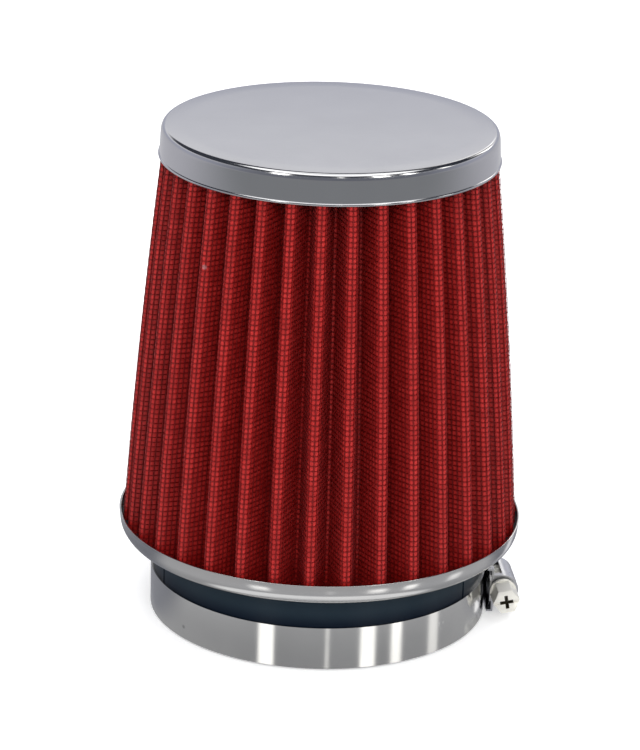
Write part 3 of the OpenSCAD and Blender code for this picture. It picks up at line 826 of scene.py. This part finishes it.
drawn_cap()
base_pan()
woven_wires()
folded_gauze()
dress_node("cap_potting", POTTING)
dress_node("base_potting", POTTING)
dress_node("inner_screen", RED_WIRE)
dress_node("seam_clip", CORE_ZINC)
dress_node("inner_core", CORE_ZINC)
dress_node("neck", NECK_BLACK)
dress_node("clamp_band", CLAMP_STEEL)
dress_node("clamp_housing", HOUSING_STEEL)
worm_screw()


# Studio


# Bars of light in the room: azimuth from -Y toward +X and half width, in degrees, and strength
LIGHT_BARS = [(-40, 5.7, 1), (2, 1.4, 0.4), (30, 5.5, 1), (51, 4, 1), (82, 4.5, 0.5),
              (140, 5, 0.8), (165, 3, 0.5)]


def pale_floor():
    """A white sheet under the filter, which keeps its shadow; for metal it glows with a painted reflection of a
    glossy table with a grey front.
    """
    size = 1.4
    mesh = mesh_from("pale_floor", [(-size, -size, 0), (size, -size, 0), (size, size, 0), (-size, size, 0)],
                     [(0, 1, 2, 3)])
    material = bpy.data.materials.new("white_paper_floor")
    material.use_nodes = True
    material.node_tree.nodes.clear()
    s = Shader(material.node_tree)
    path = s.node("ShaderNodeLightPath")
    paper = s.node("ShaderNodeBsdfDiffuse", {"Color": (0.9, 0.9, 0.9, 1)})
    glow = s.node("ShaderNodeEmission", {"Color": (1, 1, 1, 1), "Strength": 0.35})
    bright = s.node("ShaderNodeAddShader", {0: paper.outputs["BSDF"], 1: glow.outputs["Emission"]})
    plain = s.node("ShaderNodeMixShader", {0: path.outputs["Is Camera Ray"], 1: paper.outputs["BSDF"],
                                           2: bright.outputs["Shader"]})
    # What metal sees here glows: painted reflection greys near and far, darker painted cards beside and behind, and
    # a mirror close to the filter
    place = s.place()
    reach = s.node("ShaderNodeVectorMath", {0: place}, operation="LENGTH").outputs["Value"]
    spot = s.node("ShaderNodeSeparateXYZ", {"Vector": place})
    far = s.mix(s.ramp(spot.outputs["Y"], -0.45, 0.45), (0.3, 0.31, 0.32, 1), (0.62, 0.62, 0.66, 1))
    beside = s.ramp(s.math("ABSOLUTE", spot.outputs["X"]), 0.045, 0.055)
    behind = s.math("MULTIPLY", s.ramp(spot.outputs["Y"], -0.025, 0.0), s.ramp(spot.outputs["Y"], 0.06, 0.1, 1, 0))
    cards = s.math("MULTIPLY", beside, behind)
    near = s.mix(s.ramp(reach, 0.055, 0.1), (0.38, 0.38, 0.38, 1), (0.55, 0.55, 0.55, 1))
    near = s.mix(cards, near, (0.24, 0.245, 0.27, 1))
    seen = s.node("ShaderNodeEmission", {"Color": s.mix(s.ramp(reach, 0.14, 0.5), near, far)})
    gloss = s.mix(cards, (0.34, 0.34, 0.34, 1), (0.18, 0.18, 0.19, 1))
    gloss = s.mix(s.ramp(reach, 0.106, 0.118), gloss, (0, 0, 0, 1))
    mirror = s.node("ShaderNodeBsdfGlossy", {"Roughness": 0.02, "Color": gloss})
    table = s.node("ShaderNodeAddShader", {0: seen.outputs["Emission"], 1: mirror.outputs["BSDF"]})
    mixed = s.node("ShaderNodeMixShader", {0: path.outputs["Is Glossy Ray"], 1: plain.outputs["Shader"],
                                           2: table.outputs["Shader"]})
    s.node("ShaderNodeOutputMaterial", {"Surface": mixed.outputs["Shader"]})
    mesh.materials.append(material)
    floor = bpy.data.objects.new("pale_floor", mesh)
    bpy.context.scene.collection.objects.link(floor)
    return floor


def studio_room():
    """White background; metal sees a pale room with a dark ceiling, a grey front and bars of light."""
    world = bpy.data.worlds.new("white_studio")
    bpy.context.scene.world = world
    world.use_nodes = True
    world.node_tree.nodes.clear()
    s = Shader(world.node_tree)
    path = s.node("ShaderNodeLightPath")
    way = s.node("ShaderNodeSeparateXYZ", {"Vector": s.place("Generated")})
    front = s.ramp(s.math("MULTIPLY", way.outputs["Y"], -1.0), -0.5, 0.8)
    wall = s.mix(s.ramp(way.outputs["Z"], 0.245, 0.295), (0.53, 0.545, 0.63, 1), (0.96, 0.96, 0.985, 1))
    room = s.mix(front, wall, (0.2, 0.21, 0.24, 1))
    room = s.mix(s.ramp(way.outputs["Z"], 0.33, 0.45), room, (0.05, 0.055, 0.07, 1))
    over = s.math("MULTIPLY_ADD", way.outputs["Y"], -0.15, way.outputs["Z"])
    room = s.mix(s.ramp(over, 0.79, 0.87), room, (2.1, 2.1, 2.06, 1))
    room = s.mix(s.ramp(way.outputs["Z"], 0.955, 0.985), room, (1.1, 1.1, 1.12, 1))
    below = s.mix(front, (0.6, 0.6, 0.64, 1), (0.32, 0.32, 0.33, 1))
    room = s.mix(s.ramp(way.outputs["Z"], -0.02, 0.0), below, room)
    turn = s.math("ARCTAN2", way.outputs["X"], s.math("MULTIPLY", way.outputs["Y"], -1.0))
    bars = 0.0
    for azimuth, half, strength in LIGHT_BARS:
        off = s.math("ABSOLUTE", s.math("SUBTRACT", turn, math.radians(azimuth)))
        bar = s.ramp(off, math.radians(half * 0.75), math.radians(half * 1.15), strength, 0.0)
        bars = s.math("MAXIMUM", bar, bars)
    height = s.math("MULTIPLY", s.ramp(way.outputs["Z"], 0.29, 0.36), s.ramp(way.outputs["Z"], 0.46, 0.62, 1.0, 0.0))
    room = s.mix(s.math("MULTIPLY", bars, height), room, (5.8, 5.7, 5.4, 1))
    camera_or_not = s.mix(path.outputs["Is Camera Ray"], (0.74, 0.74, 0.76, 1), (1, 1, 1, 1))
    seen_by_metal = s.math("MAXIMUM", path.outputs["Is Glossy Ray"], path.outputs["Is Transmission Ray"])
    colour = s.mix(seen_by_metal, camera_or_not, room)
    background = s.node("ShaderNodeBackground", {"Color": colour, "Strength": 1.0})
    s.node("ShaderNodeOutputWorld", {"Surface": background.outputs["Background"]})


def soft_box(name, place, aim, width, height, power):
    lamp = bpy.data.lights.new(name, "AREA")
    lamp.shape = "RECTANGLE"
    lamp.size = width
    lamp.size_y = height
    lamp.energy = power
    holder = bpy.data.objects.new(name, lamp)
    bpy.context.scene.collection.objects.link(holder)
    holder.location = place
    holder.rotation_mode = "QUATERNION"
    holder.rotation_quaternion = (Vector(aim) - Vector(place)).to_track_quat("-Z", "Y")
    holder.visible_glossy = False
    return holder


def camera_as_in_photograph():
    """The photograph's view: a long lens from a little left of the front, looking down."""
    aim = Vector((0, 0, 82.85 * MM))
    distance = 1018.8 * MM
    azimuth, elevation, roll = math.radians(-6), math.radians(19.6), math.radians(1.73)
    away = Vector((math.sin(azimuth) * math.cos(elevation), -math.cos(azimuth) * math.cos(elevation),
                   math.sin(elevation)))
    lens = bpy.data.cameras.new("photograph_view")
    lens.sensor_width = 36
    lens.lens = 165.07
    lens.shift_x = -0.0059
    lens.shift_y = -0.0419
    lens.clip_start = 0.05
    lens.clip_end = 50
    camera = bpy.data.objects.new("photograph_view", lens)
    bpy.context.scene.collection.objects.link(camera)
    camera.location = aim + away * distance
    camera.rotation_mode = "QUATERNION"
    level = (-away).to_track_quat("-Z", "Y")
    camera.rotation_quaternion = level @ Matrix.Rotation(roll, 3, "Z").to_quaternion()
    bpy.context.scene.camera = camera


pale_floor()
studio_room()
soft_box("box_overhead", (0.0, -0.1, 1.3), (0, 0, 0.1), 0.9, 0.9, 9)
soft_box("box_front", (-0.1, -1.2, 0.75), (0, 0, 0.08), 0.9, 0.6, 9)
soft_box("box_back", (0.3, 1.2, 0.8), (0, 0, 0.08), 0.9, 0.6, 3)
camera_as_in_photograph()
bpy.context.scene.view_settings.view_transform = "Standard"
